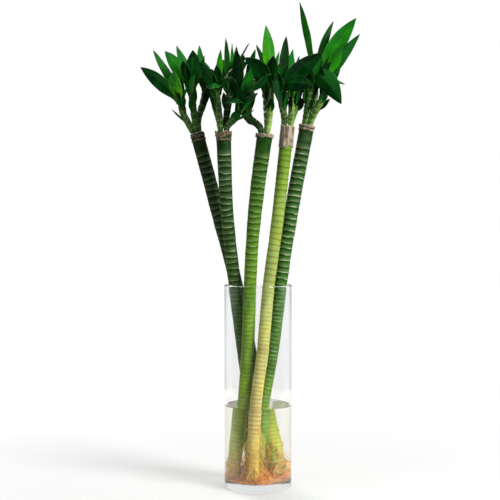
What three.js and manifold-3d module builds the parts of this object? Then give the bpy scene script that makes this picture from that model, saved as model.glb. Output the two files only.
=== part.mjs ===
// Lucky bamboo: five bare canes lean out of a clear glass cylinder of water, root in it,
// and carry leafy side shoots at their cut tops. Millimetres, +Z up.
// The origin is the centre of the vase's foot, on the surface that it stands on.
// -Y is the side that faces a viewer, and +X is on that viewer's right.
import * as THREE from "three";
import { mergeVertices } from "three/addons/utils/BufferGeometryUtils.js";
import Module from "manifold-3d";

const wasm = await Module();
wasm.setup();

// Driving dimensions
const GAP = 0.3; // the clearance that touching pieces keep
const UP = new THREE.Vector3(0, 0, 1);

const VASE = { radius: 50, height: 302, wall: 2.5, floor: 12, foot: 5, rim: 1, sides: 40 };
const WATER_LEVEL = 122;

const CANE_SIDES = 12;
const CANE_STEPS = 9;

// A side shoot: its seat on the cane's cut top, and its radii at even steps from seat to crown
const SHOOT = { seat: 6, radii: [3.8, 5, 5.2, 5, 4.2], sides: 7, reach: 0.42, upright: 0.6 };

// The rolled young leaf in the middle of a crown, as [radius, height] from the shoot's end
const SPEAR = [[4, 0], [3.8, 6], [2.6, 16], [1.2, 27], [0, 36]];

// A leaf blade, as [part of the full width, part of the length] from sheath to tip. No edge where
// leaves meet in a crown is finer than finest.
const BLADE = [[0.3, 0], [0.42, 0.12], [0.94, 0.36], [0.92, 0.6], [0.5, 0.84], [0, 1]];
const LEAF = { thickness: 1.6, firstBase: 2, baseStep: 1.7, baseOut: 1.3, baseTurn: 0.4, finest: 0.02 };

// The callus under a cane's cut foot, and the roots that grow from it
const ROOTS = { callusRadius: 7, callusHeight: 4, radii: [1.6, 1.5, 1.2, 0.9, 0], sides: 6 };

// line: points of the cane's centre line from foot to cut top, as [x, y, z, radius]
// seat: each shoot's bearing on the cut top, in degrees from +X towards +Y
// crown: the shoot's end
// leaves: each leaf's [tip x, tip y, tip z, width, arch, turn]. arch is how far the leaf follows
// the shoot before it leans out, as a part of its length. turn rolls the blade about its length.
// roots: the far end of each root, as [x, y, z]
const CANES = [
  {
    name: "a",
    colour: 0x24401f,
    line: [
      [18.5, 27, 17.7, 7.4],
      [2.7, 30.5, 130, 9.6],
      [-12.3, 26, 205, 9.6],
      [-32, 18.5, 300, 9.6],
      [-60, 9.5, 410, 10],
      [-90.6, 0, 527, 10.2],
    ],
    shoots: [
      {
        seat: 190,
        crown: [-113.5, -12, 566],
        leaves: [
          [-171, -32, 620, 25, 0.25, 60],
          [-161, 18, 622, 20, 0.3, 15],
          [-157, 20, 652, 20, 0.35, 15],
          [-120, -58, 611, 26, 0.15, -50],
          [-146, 54, 592, 22, 0.4, 0],
        ],
      },
      {
        seat: 290,
        crown: [-97, -18, 586],
        leaves: [
          [-136, -26, 644, 26, 0.3, -75],
          [-121, 12, 658, 20, 0.4, 20],
          [-94, -48, 642, 27, 0.4, 15],
          [-98, -70, 565, 18, 0.7, 65],
          [-108, -44, 628, 22, 0.4, -30],
        ],
      },
      {
        seat: 50,
        crown: [-80, 14, 588],
        leaves: [
          [-88, 24, 660, 20, 0.4, -20],
          [-79, -16, 639, 20, 0.4, -75],
          [-71, -44, 614, 22, 0.3, 55],
          [-82, 60, 640, 22, 0.4, 0],
          [-112, 74, 618, 22, 0.4, 0],
          [-84, 92, 598, 20, 0.5, 0],
        ],
      },
    ],
    roots: [
      [33, 20, 16],
      [28, 34, 15],
      [16, 42, 14],
      [14, 12, 14],
    ],
  },
  {
    name: "b",
    colour: 0x2c4a22,
    line: [
      [-0.5, 26, 17.4, 8.4],
      [-12.6, 16, 130, 9.4],
      [-22.3, 7.5, 205, 9.4],
      [-34, -5, 300, 9.3],
      [-42, -15, 370, 9.2],
      [-47, -23, 430, 9.5],
      [-50.4, -30, 527, 11],
    ],
    shoots: [
      {
        seat: 225,
        crown: [-59, -38, 578],
        leaves: [
          [-83, -62, 624, 24, 0.35, 10],
          [-66, -104, 580, 24, 0.4, 0],
          [-54, -62, 641, 14, 0.5, 30],
          [-38, -90, 598, 20, 0.3, 0],
        ],
      },
      {
        seat: 320,
        crown: [-29, -42, 553],
        leaves: [
          [-32, -52, 643, 26, 0.45, 60],
          [-11, -66, 614, 26, 0.35, 40],
          [-40, -108, 560, 22, 0.4, 0],
          [-6, -92, 571, 22, 0.4, 15],
          [-14, -84, 579, 24, 0.3, 40],
          [-39, -58, 603, 22, 0.35, 20],
        ],
      },
      {
        seat: 50,
        crown: [-42, -14, 590],
        leaves: [
          [-47, -14, 665, 16, 0.5, -5],
          [-38, -36, 654, 16, 0.5, 80],
          [-32, 8, 656, 22, 0.4, -35],
          [-13, 10, 661, 18, 0.4, -40],
          [-34, 62, 630, 22, 0.4, 0],
          [-20, -34, 637, 24, 0.4, 10],
        ],
      },
      {
        seat: 140,
        crown: [-66, 0, 584],
        leaves: [
          [-46, 44, 648, 20, 0.4, 0],
          [-51, 12, 637, 16, 0.5, -60],
          [-52, 80, 612, 22, 0.4, 0],
        ],
      },
    ],
    roots: [
      [2, 42, 15],
      [-16, 38, 14],
      [-14, 24, 14],
      [2, 12, 15],
    ],
  },
  {
    name: "c",
    colour: 0x3f6d2c,
    line: [
      [-30.5, -5, 17.1, 8.8],
      [-20.2, -9, 130, 9.6],
      [-15.3, -12, 205, 9.5],
      [-12, -16, 300, 9.3],
      [-8.2, -19, 370, 9.4],
      [-2.6, -22, 430, 10.4],
      [9.7, -26, 523, 11.6],
    ],
    shoots: [
      {
        seat: 185,
        crown: [-14, -14, 554],
        leaves: [
          [-4, -4, 650, 22, 0.5, -40],
          [-30, 36, 600, 20, 0.4, 0],
          [-16, -18, 616, 22, 0.35, -5],
        ],
      },
      {
        seat: 300,
        crown: [19, -38, 588],
        leaves: [
          [11, -34, 680, 22, 0.5, -40],
          [30, -50, 640, 12, 0.5, 15],
          [-20, -58, 630, 26, 0.3, 60],
          [-3, -18, 654, 20, 0.4, 10],
          [-11, -84, 579, 22, 0.4, 70],
          [33, -60, 557, 15, 0.7, -10],
        ],
      },
      {
        seat: 70,
        crown: [12, 6, 586],
        leaves: [
          [5, 24, 648, 20, 0.4, 20],
          [4, 86, 624, 24, 0.4, 0],
          [40, 72, 612, 22, 0.4, 0],
          [-24, 92, 598, 22, 0.4, 0],
          [36, 20, 636, 20, 0.4, 30],
        ],
      },
    ],
    roots: [
      [-42, 8, 15],
      [-44, -8, 14],
      [-34, -24, 14],
      [-20, 6, 14],
    ],
  },
  {
    name: "d",
    colour: 0x9aa84a,
    line: [
      [-7.5, -31, 16.9, 7.8],
      [-3, -25, 130, 8.6],
      [6.7, -22, 205, 8.8],
      [15.3, -18, 300, 8.8],
      [25, -14.5, 370, 8.9],
      [32.3, -12, 430, 9.1],
      [43.8, -8, 536, 9.75],
    ],
    shoots: [
      {
        seat: 190,
        crown: [33, -25, 580],
        leaves: [
          [41, -28, 665, 22, 0.5, 10],
          [92, -63, 636, 29, 0.25, -65],
          [75, -80, 588, 26, 0.3, 75],
        ],
      },
      {
        seat: 300,
        crown: [50, -18, 576],
        leaves: [
          [81, -27, 621, 22, 0.3, -55],
          [52, 10, 652, 22, 0.4, 60],
          [67, 4, 610, 20, 0.4, -15],
        ],
      },
      {
        seat: 50,
        crown: [60, 12, 582],
        leaves: [
          [62, 36, 646, 22, 0.4, 60],
          [54, 90, 624, 24, 0.4, 0],
          [72, 82, 642, 22, 0.4, 0],
        ],
      },
    ],
    roots: [
      [6, -42, 15],
      [-12, -44, 14],
      [-22, -36, 14],
      [8, -24, 14],
    ],
  },
  {
    name: "e",
    colour: 0x2f5a29,
    line: [
      [-7, -10, 17.4, 8.8],
      [8.5, -6, 130, 9.4],
      [21.2, -3, 205, 9.6],
      [33, 1, 300, 9.8],
      [43, 3.5, 370, 10.3],
      [53.2, 6, 430, 10.4],
      [73, 10, 538, 11],
    ],
    shoots: [
      {
        seat: 222,
        crown: [76, -8, 586],
        leaves: [
          [119, -56, 564, 32, 0.8, 90],
          [94, -20, 636, 20, 0.4, -25],
        ],
      },
      {
        seat: 38,
        crown: [86, 12, 600],
        leaves: [
          [62, 16, 723, 18, 0.3, 55],
          [146, 8, 698, 28, 0.2, -90],
          [114, 34, 698, 13, 0.4, 60],
          [96, 88, 652, 24, 0.4, 0],
        ],
      },
      {
        seat: 312,
        crown: [97, -10, 588],
        leaves: [
          [150, -6, 672, 22, 0.35, 35],
          [124, -26, 650, 20, 0.4, -20],
          [132, 40, 603, 18, 0.4, 25],
        ],
      },
      {
        seat: 132,
        crown: [76, 32, 586],
        leaves: [
          [122, 92, 618, 24, 0.4, 0],
          [84, 112, 598, 24, 0.4, 0],
          [108, 78, 640, 20, 0.4, 0],
        ],
      },
    ],
    roots: [
      [6, -4, 15],
      [4, 6, 14],
      [-14, 6, 14],
      [-18, -16, 14],
    ],
  },
];

// Materials
const finish = (color, roughness, rest = {}) =>
  new THREE.MeshStandardMaterial({ color, roughness, metalness: 0, ...rest });
const GLASS = finish(0xdfe9e6, 0.05, { transparent: true, opacity: 0.25 });
const WATER = finish(0xe8e4e2, 0.05, { transparent: true, opacity: 0.3 });
const SHOOT_GREEN = finish(0x5f8a45, 0.55);
const LEAF_GREEN = finish(0x2f6a2c, 0.4);
const ROOT_ORANGE = finish(0xc98b3a, 0.7);

const vector = ([x, y, z]) => new THREE.Vector3(x, y, z);

// A geometry's vertices merged, with only their positions left, as a solid for joins and cuts.
function solidOf(geometry) {
  const bare = geometry.clone();
  bare.deleteAttribute("normal");
  bare.deleteAttribute("uv");
  const merged = mergeVertices(bare, 1e-4);
  return new wasm.Manifold(
    new wasm.Mesh({
      numProp: 3,
      vertProperties: merged.attributes.position.array,
      triVerts: new Uint32Array(merged.index.array),
    }),
  );
}

// A solid's surface as a geometry again.
function geometryOf(solid) {
  const mesh = solid.getMesh();
  const geometry = new THREE.BufferGeometry();
  geometry.setAttribute("position", new THREE.BufferAttribute(mesh.vertProperties, 3));
  geometry.setIndex(new THREE.BufferAttribute(mesh.triVerts, 1));
  geometry.computeVertexNormals();
  return geometry;
}

// A turned profile of [radius, part of the length] points, closed at both ends.
function turned(profile, sides) {
  const points = profile.map(([radius, along]) => new THREE.Vector2(radius, along));
  if (points[0].x > 0) points.unshift(new THREE.Vector2(0, points[0].y));
  if (points.at(-1).x > 0) points.push(new THREE.Vector2(0, points.at(-1).y));
  return new THREE.LatheGeometry(points, sides);
}

// Bends a turned profile along a path: all that grows here is made this way. across(t, tangent)
// gives the direction that the profile's X takes at t, and flat squeezes it the other way.
function bent(geometry, path, across, flat = 1) {
  const place = geometry.attributes.position;
  const at = new THREE.Vector3();
  for (let i = 0; i < place.count; i += 1) {
    at.fromBufferAttribute(place, i);
    const t = THREE.MathUtils.clamp(at.y, 0, 1);
    const tangent = path.getTangentAt(t);
    const side = across(t, tangent);
    const normal = new THREE.Vector3().crossVectors(side, tangent);
    const point = path.getPointAt(t).addScaledVector(side, at.x).addScaledVector(normal, at.z * flat);
    place.setXYZ(i, point.x, point.y, point.z);
  }
  return geometry;
}

// The direction across a tangent that stays nearest to a fixed one.
function steady(fixed) {
  return (t, tangent) => fixed.clone().addScaledVector(tangent, -fixed.dot(tangent)).normalize();
}

// The radius at t from radii at even steps.
function radiusAt(radii, t) {
  const step = t * (radii.length - 1);
  const low = Math.min(Math.floor(step), radii.length - 2);
  return THREE.MathUtils.lerp(radii[low], radii[low + 1], step - low);
}

// A round stem along a path, with radii at even steps and some growth all round.
function stem(path, radii, steps, sides, growth = 0) {
  const profile = [];
  for (let i = 0; i <= steps; i += 1) {
    const radius = radiusAt(radii, i / steps);
    profile.push([radius > 0 ? radius + growth : 0, i / steps]);
  }
  return bent(turned(profile, sides), path, steady(new THREE.Vector3(1, 0, 0)));
}

function makeVase() {
  const { radius, height, wall, floor, foot, rim, sides } = VASE;
  const bore = radius - wall;
  const diagonal = Math.SQRT1_2;
  const profile = [
    [0, 0],
    [radius - foot, 0],
    [radius - foot + foot * diagonal, foot - foot * diagonal],
    [radius, foot],
    [radius, height - rim],
    [radius - rim, height],
    [bore + rim / 2, height],
    [bore, height - rim],
    [bore, floor + rim * 2],
    [bore - rim * 2, floor],
    [0, floor],
  ];
  return new THREE.LatheGeometry(profile.map(([x, y]) => new THREE.Vector2(x, y)), sides).rotateX(Math.PI / 2);
}

// The cane's centre line, and its radii at the line's even steps.
function caneLine(cane) {
  const path = new THREE.CatmullRomCurve3(cane.line.map(vector), false, "centripetal");
  path.arcLengthDivisions = 400;
  const radii = [];
  for (let i = 0; i <= CANE_STEPS; i += 1) {
    const height = path.getPointAt(i / CANE_STEPS).z;
    const upper = Math.max(1, cane.line.findIndex((point) => point[2] >= height - 1e-6));
    const [low, high] = [cane.line[upper - 1], cane.line[upper]];
    const share = THREE.MathUtils.clamp((height - low[2]) / (high[2] - low[2]), 0, 1);
    radii.push(THREE.MathUtils.lerp(low[3], high[3], share));
  }
  return { path, radii };
}

function makeCane(cane, growth = 0) {
  const { path, radii } = caneLine(cane);
  return stem(path, radii, CANE_STEPS, CANE_SIDES, growth);
}

// A shoot leaves its seat square to the cane's cut top, leans out, and turns up at its crown.
function shootPath(cane, shoot) {
  const { path } = caneLine(cane);
  const axis = path.getTangentAt(1);
  const bearing = THREE.MathUtils.degToRad(shoot.seat);
  const outward = steady(new THREE.Vector3(Math.cos(bearing), Math.sin(bearing), 0))(1, axis);
  const seat = path.getPointAt(1).addScaledVector(axis, GAP).addScaledVector(outward, SHOOT.seat);
  const crown = vector(shoot.crown);
  const reach = seat.distanceTo(crown) * SHOOT.reach;
  const rise = new THREE.Vector3().subVectors(crown, seat).normalize().lerp(UP, SHOOT.upright).normalize();
  const out = seat.clone().addScaledVector(axis, reach);
  const below = crown.clone().addScaledVector(rise, -reach);
  return new THREE.CubicBezierCurve3(seat, out, below, crown);
}

function makeShoot(cane, shoot) {
  return stem(shootPath(cane, shoot), SHOOT.radii, SHOOT.radii.length, SHOOT.sides);
}

// Splits the two faces of a blade along the same diagonals, which keeps them apart where it twists.
function splitAlike(blade) {
  const corners = blade.index;
  const perSide = corners.count / 4;
  for (let i = perSide; i < perSide * 3; i += 6) {
    corners.setX(i + 2, corners.getX(i + 3));
    corners.setX(i + 5, corners.getX(i));
  }
  return blade;
}

// A leaf leaves the crown along the shoot's axis, and arches out to its tip.
function makeLeaf(base, axis, [x, y, z, width, arch, turn]) {
  const tip = new THREE.Vector3(x, y, z);
  const lean = base.clone().addScaledVector(axis, arch * base.distanceTo(tip));
  const path = new THREE.QuadraticBezierCurve3(base, lean, tip);
  const flatSide = new THREE.Vector3().subVectors(tip, base).cross(axis).normalize();
  const across = (t, tangent) => {
    const roll = THREE.MathUtils.degToRad(turn) * THREE.MathUtils.lerp(LEAF.baseTurn, 1, t);
    return steady(flatSide)(t, tangent).applyAxisAngle(tangent, roll);
  };
  const half = width / 2;
  const profile = BLADE.map(([part, along]) => [part * half, along]);
  return bent(splitAlike(turned(profile, 4)), path, across, LEAF.thickness / width);
}

// The leaves of one crown clasp each other at its middle, so the crown is one piece, and the
// sealed pockets between their sheaths are filled.
function makeCrown(cane, shoot) {
  const path = shootPath(cane, shoot);
  const axis = path.getTangentAt(1);
  const foot = path.getPointAt(1).addScaledVector(axis, GAP);
  const height = SPEAR.at(-1)[1];
  const spearPath = new THREE.LineCurve3(foot, foot.clone().addScaledVector(axis, height));
  const spear = SPEAR.map(([radius, along]) => [radius, along / height]);
  let crown = solidOf(bent(turned(spear, SHOOT.sides), spearPath, steady(new THREE.Vector3(1, 0, 0))));
  shoot.leaves.forEach((leaf, i) => {
    const base = foot.clone().addScaledVector(axis, LEAF.firstBase + LEAF.baseStep * i);
    const chord = new THREE.Vector3(...leaf.slice(0, 3)).sub(base);
    base.addScaledVector(chord.addScaledVector(axis, -chord.dot(axis)).normalize(), LEAF.baseOut);
    crown = crown.add(solidOf(makeLeaf(base, axis, leaf)));
  });
  const pieces = crown.asOriginal().simplify(LEAF.finest).decompose();
  return geometryOf(pieces.find((piece) => piece.volume() > 1));
}

// The callus under a cane's foot with its roots, as one solid. A grown one reaches up into the
// cane, so that the water's cuts for the two meet.
function rootSolid(cane, growth = 0) {
  const { path } = caneLine(cane);
  const along = (distance) => path.getPointAt(0).addScaledVector(path.getTangentAt(0), distance);
  const middle = along(-ROOTS.callusHeight / 2);
  const callus = new THREE.LineCurve3(along(-ROOTS.callusHeight - growth), along(growth * 4 - GAP));
  let clump = solidOf(stem(callus, [ROOTS.callusRadius, ROOTS.callusRadius], 1, ROOTS.sides + 2, growth));
  for (const end of cane.roots) {
    const far = vector(end);
    const bend = middle.clone().lerp(far, 0.6).setZ(middle.z - 1);
    const root = new THREE.QuadraticBezierCurve3(middle, bend, far);
    clump = clump.add(solidOf(stem(root, ROOTS.radii, ROOTS.radii.length, ROOTS.sides, growth)));
  }
  return clump;
}

// The water fills the bore up to its level, round the canes and their roots.
function makeWater() {
  const bore = VASE.radius - VASE.wall - GAP;
  const low = VASE.floor + GAP;
  const round = VASE.rim * 2;
  const profile = [[0, low], [bore - round, low], [bore, low + round], [bore, WATER_LEVEL], [0, WATER_LEVEL]];
  const points = profile.map(([x, y]) => new THREE.Vector2(x, y));
  let water = solidOf(new THREE.LatheGeometry(points, VASE.sides).rotateX(Math.PI / 2));
  for (const cane of CANES) {
    water = water.subtract(solidOf(makeCane(cane, GAP)));
    water = water.subtract(rootSolid(cane, GAP));
  }
  return geometryOf(water);
}

const plant = new THREE.Group();

function addPiece(name, geometry, material) {
  const piece = new THREE.Mesh(geometry, material);
  piece.name = name;
  plant.add(piece);
}

addPiece("glass_vase", makeVase(), GLASS);
addPiece("water", makeWater(), WATER);
for (const cane of CANES) {
  addPiece(`cane_${cane.name}`, makeCane(cane), finish(cane.colour, 0.55));
  addPiece(`roots_${cane.name}`, geometryOf(rootSolid(cane)), ROOT_ORANGE);
  cane.shoots.forEach((shoot, i) => {
    const label = `${cane.name}${i + 1}`;
    addPiece(`shoot_${label}`, makeShoot(cane, shoot), SHOOT_GREEN);
    addPiece(`leaves_${label}`, makeCrown(cane, shoot), LEAF_GREEN);
  });
}

export default plant;
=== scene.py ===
# %% [markdown]
# # Lucky bamboo in a glass vase
#
# Lucky bamboo isn't a bamboo: it is a dracaena, sold as bare canes that root in plain water. Five
# canes lean out of a clear glass cylinder, and each cut top carries a few leafy side shoots.
#
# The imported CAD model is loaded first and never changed. A piece made here takes the place of one
# of its nodes, in the same frame: metres, +Z up, the vase's foot at the origin, the front at -Y.

# %% The fixed frame
import math
import random

import bmesh
import bpy
from mathutils import Matrix, Vector


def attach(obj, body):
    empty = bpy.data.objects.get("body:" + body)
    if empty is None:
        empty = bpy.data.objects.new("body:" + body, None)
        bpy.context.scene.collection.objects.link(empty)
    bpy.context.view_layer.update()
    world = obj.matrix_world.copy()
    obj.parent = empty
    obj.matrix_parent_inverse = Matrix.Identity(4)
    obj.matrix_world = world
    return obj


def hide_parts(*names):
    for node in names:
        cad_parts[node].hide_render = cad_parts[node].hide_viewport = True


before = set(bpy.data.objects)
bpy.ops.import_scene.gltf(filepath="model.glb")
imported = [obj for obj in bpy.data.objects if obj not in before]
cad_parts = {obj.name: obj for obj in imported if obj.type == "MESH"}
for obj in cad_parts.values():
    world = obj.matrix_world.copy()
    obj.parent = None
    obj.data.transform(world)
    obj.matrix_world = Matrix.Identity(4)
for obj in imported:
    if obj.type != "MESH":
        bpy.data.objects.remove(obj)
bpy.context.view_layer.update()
bpy.ops.object.select_all(action="DESELECT")

MM = 0.001
UP = Vector((0, 0, 1))
scene = bpy.context.scene
print("CAD nodes:", len(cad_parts))

# %% [markdown]
# ## Camera, floor and light
#
# A long lens from a little above the vase's middle gives the photograph's flat perspective. A wide
# white floor and three large soft lamps stand in for a light tent. The strongest lamp stands at the
# right, where the photograph's canes are brightest. The lamps aren't seen through the glass, so no
# glints of them stand in its thick floor.

# %% Camera and floor
bpy.ops.object.camera_add(location=(-0.0119, -1.651, 0.4025), rotation=(math.radians(88.3), 0, 0))
camera = bpy.context.object
camera.data.lens = 80
camera.data.sensor_width = 36
scene.camera = camera
scene.view_settings.view_transform = "Standard"

FLOOR_RADIUS = 0.95
just_below = (0, 0, -0.0005)  # under the vase's foot, for two faces in one place would flicker
bpy.ops.mesh.primitive_circle_add(
    vertices=96, radius=FLOOR_RADIUS, fill_type="NGON", location=just_below
)
floor = bpy.context.object
floor.name = "floor"
print("lens:", camera.data.lens, "mm, floor:", FLOOR_RADIUS * 2, "m across")

# %% Lamps
# For each square lamp: where it stands, the point that it looks at, and its power in watts
LAMPS = {
    "key_softbox": ((1.6, -1.15, 1.35), (0, 0, 0.4), 54),
    "fill_softbox": ((-1.5, -1.0, 1.0), (0, 0, 0.4), 7),
    "back_softbox": ((-0.7, 1.5, 1.6), (0, 0, 0.5), 26),
}
LAMP_SIDE = 0.9
for name, (place, aim, power) in LAMPS.items():
    bpy.ops.object.light_add(type="AREA", location=place)
    light = bpy.context.object
    light.name = name
    light.data.size = LAMP_SIDE
    light.data.energy = power
    light.visible_transmission = False
    light.rotation_euler = (Vector(aim) - Vector(place)).to_track_quat("-Z", "Y").to_euler()
print("lamps:", len(LAMPS))

# %% [markdown]
# ## Colours and shader nodes
#
# Colours are picked as sRGB hex values, as a screen shows them, and one function turns them to the
# linear values that the renderer works in. One function adds any node. Most finishes here are then
# built the same way: noise in some direction gives a pattern, a pattern is carried to another range
# to say how much a coat of colour covers, and the coats go on one after another.

# %% Colour and node helpers
def srgb(code):
    """An sRGB hex colour as linear RGBA."""
    channels = [int(code[i:i + 2], 16) / 255 for i in (1, 3, 5)]
    linear = [c / 12.92 if c <= 0.04045 else ((c + 0.055) / 1.055) ** 2.4 for c in channels]
    return (*linear, 1.0)


def add_node(tree, kind, inputs=(), stops=(), **settings):
    """Adds a node with its settings and links. Inputs come in the node's own order, or by name or
    number, and each is a socket to link, a value or a hex colour. Stops are a colour ramp's."""
    node = tree.nodes.new("ShaderNode" + kind)
    for key, value in settings.items():
        setattr(node, key, value)
    for i, (position, shade) in enumerate(stops):
        elements = node.color_ramp.elements
        element = elements[i] if i < len(elements) else elements.new(position)
        element.position = position
        element.color = srgb(shade)
    for key, value in inputs.items() if isinstance(inputs, dict) else enumerate(inputs):
        if isinstance(value, bpy.types.NodeSocket):
            tree.links.new(value, node.inputs[key])
        else:
            node.inputs[key].default_value = srgb(value) if isinstance(value, str) else value
    return node


def new_finish(name, inputs):
    """A material with one Principled shader, and its tree and shader to build on."""
    material = bpy.data.materials.new(name)
    material.use_nodes = True
    tree = material.node_tree
    tree.nodes.clear()
    shader = add_node(tree, "BsdfPrincipled", inputs)
    add_node(tree, "OutputMaterial", {"Surface": shader.outputs["BSDF"]})
    return material, tree, shader


def grown_patterns(tree, place, grains):
    """Cloudy patterns at a place. A grain is how fine one is along x, y and z, and its detail."""
    patterns = []
    for fineness, detail in grains:
        stretched = add_node(tree, "VectorMath", (place, fineness), operation="MULTIPLY")
        sockets = {"Vector": stretched.outputs[0], "Scale": 1.0, "Detail": detail}
        patterns.append(add_node(tree, "TexNoise", sockets).outputs[0])
    return patterns


def coverage(tree, *grades):
    """How much is covered where some values work together: each is carried from one range to
    another and held at the ends, and all are multiplied. A grade is (value, from, to), which gives
    0 to 1, or (value, from, to, low, high)."""
    shares = [add_node(tree, "MapRange", grade).outputs[0] for grade in grades]
    product = shares[0]
    for share in shares[1:]:
        product = add_node(tree, "Math", (product, share), operation="MULTIPLY").outputs[0]
    return product


def painted(tree, colour, coats):
    """Lays coats over a colour. A coat is a colour, a blend mode and the grades of its cover."""
    for shade, blend, *grades in coats:
        sockets = {0: coverage(tree, *grades), 6: colour, 7: shade}
        mix = add_node(tree, "Mix", sockets, data_type="RGBA", blend_type=blend)
        colour = mix.outputs[2]
    return colour


def dressed(tree, shader, colour, relief, depth, strength):
    """Gives a shader its colour, and its fine relief as bump. The depth is in metres."""
    sockets = {"Height": relief, "Distance": depth, "Strength": strength}
    bump = add_node(tree, "Bump", sockets)
    tree.links.new(bump.outputs[0], shader.inputs["Normal"])
    tree.links.new(colour, shader.inputs["Base Color"])


print("mid grey is", round(srgb("#808080")[0], 3), "in linear light")

# %% [markdown]
# ## Backdrop and sky
#
# Where it is looked at, straight or through the glass, the backdrop is a pale paper that turns to
# plain white far off, and the sky is plain white. What the sky sheds on the plant is greyer, as in
# a tent with its front open to a dark room, so the waxy greens keep their depth. Mirrored in the
# glass, sky and paper are pale behind and grey in front: the walls are drawn by a thin grey edge,
# and no milky veil lies over the canes inside.
#
# A ray's depth counts one more at the sky than at the floor, so its limit is one higher there.

# %% The backdrop paper
# Uncoated paper is quite matt, with a faint mottle of pulp about 3 mm wide
ON_FLOOR, AT_SKY = 0.5, 1.5


def looks_straight(tree, limit):
    """Whether a ray has bounced off nothing. Passing through glass or water doesn't count."""
    ray = add_node(tree, "LightPath")
    depths = (ray.outputs["Ray Depth"], ray.outputs["Transmission Depth"])
    bounces = add_node(tree, "Math", depths, operation="SUBTRACT").outputs[0]
    return add_node(tree, "Math", (bounces, limit), operation="LESS_THAN").outputs[0]


floor_paper, tree, shader = new_finish(
    "white_backdrop_paper", {"Roughness": 0.9, "Emission Color": "#FFFFFF"}
)
here = add_node(tree, "TexCoord").outputs["Object"]
pulp = add_node(tree, "TexNoise", {"Vector": here, "Scale": 300, "Detail": 3}).outputs[0]
away = add_node(tree, "VectorMath", (here,), operation="LENGTH").outputs["Value"]
back = add_node(tree, "SeparateXYZ", (here,)).outputs[1]
looked_at = looks_straight(tree, ON_FLOOR)
far = coverage(tree, (looked_at, 0, 1), (away, 0.3, 0.85))
near_paper = painted(tree, "#CCCCCB", [("#D0D0D0", "MIX", (pulp, 0, 1))])
paper = painted(tree, "#DAD6D0", [
    ("#6E706E", "MIX", (back, -0.05, -0.22)),
    (near_paper, "MIX", (looked_at, 0, 1)),
    ("#000000", "MIX", (far, 0, 1)),
])
tree.links.new(paper, shader.inputs["Base Color"])
tree.links.new(far, shader.inputs["Emission Strength"])
floor.data.materials.append(floor_paper)
print("backdrop nodes:", len(tree.nodes))

# %% The sky
world = bpy.data.worlds.new("light_tent")
scene.world = world
world.use_nodes = True
sky = world.node_tree
ray = add_node(sky, "LightPath")
kinds = (ray.outputs["Is Camera Ray"], ray.outputs["Is Transmission Ray"])
seen = add_node(sky, "Math", kinds, operation="MAXIMUM").outputs[0]
singular, diffuse_depth = ray.outputs["Is Singular Ray"], ray.outputs["Diffuse Depth"]
direction = add_node(sky, "SeparateXYZ", (add_node(sky, "TexCoord").outputs["Generated"],))
in_glass = painted(sky, "#4A4E4E", [("#E2E6E6", "MIX", (direction.outputs[1], -0.3, 0.6))])
tent = painted(sky, "#5C6060", [
    ("#EEF0EE", "MIX", (direction.outputs[2], 0.1, 0.8)),
    (in_glass, "MIX", (singular, 0, 1), (diffuse_depth, 0, 1, 1, 0)),
    ("#FFFFFF", "MIX", (seen, 0, 1), (looks_straight(sky, AT_SKY), 0, 1)),
])
sky.links.new(tent, sky.nodes["Background"].inputs["Color"])
print("sky nodes:", len(sky.nodes))

# %% [markdown]
# ## What grew where
#
# The same measures as the CAD source, in millimetres. A cane's line runs from its foot to its cut
# top, as points with a radius. Each shoot has the bearing of its seat on the cut top, the place of
# its crown, and its leaves. A leaf has its tip, its width, how far it arches up along the shoot
# before it leans out, the turn of its blade, and a tint from 0, old and dark, to 1, young and lime.

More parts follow.
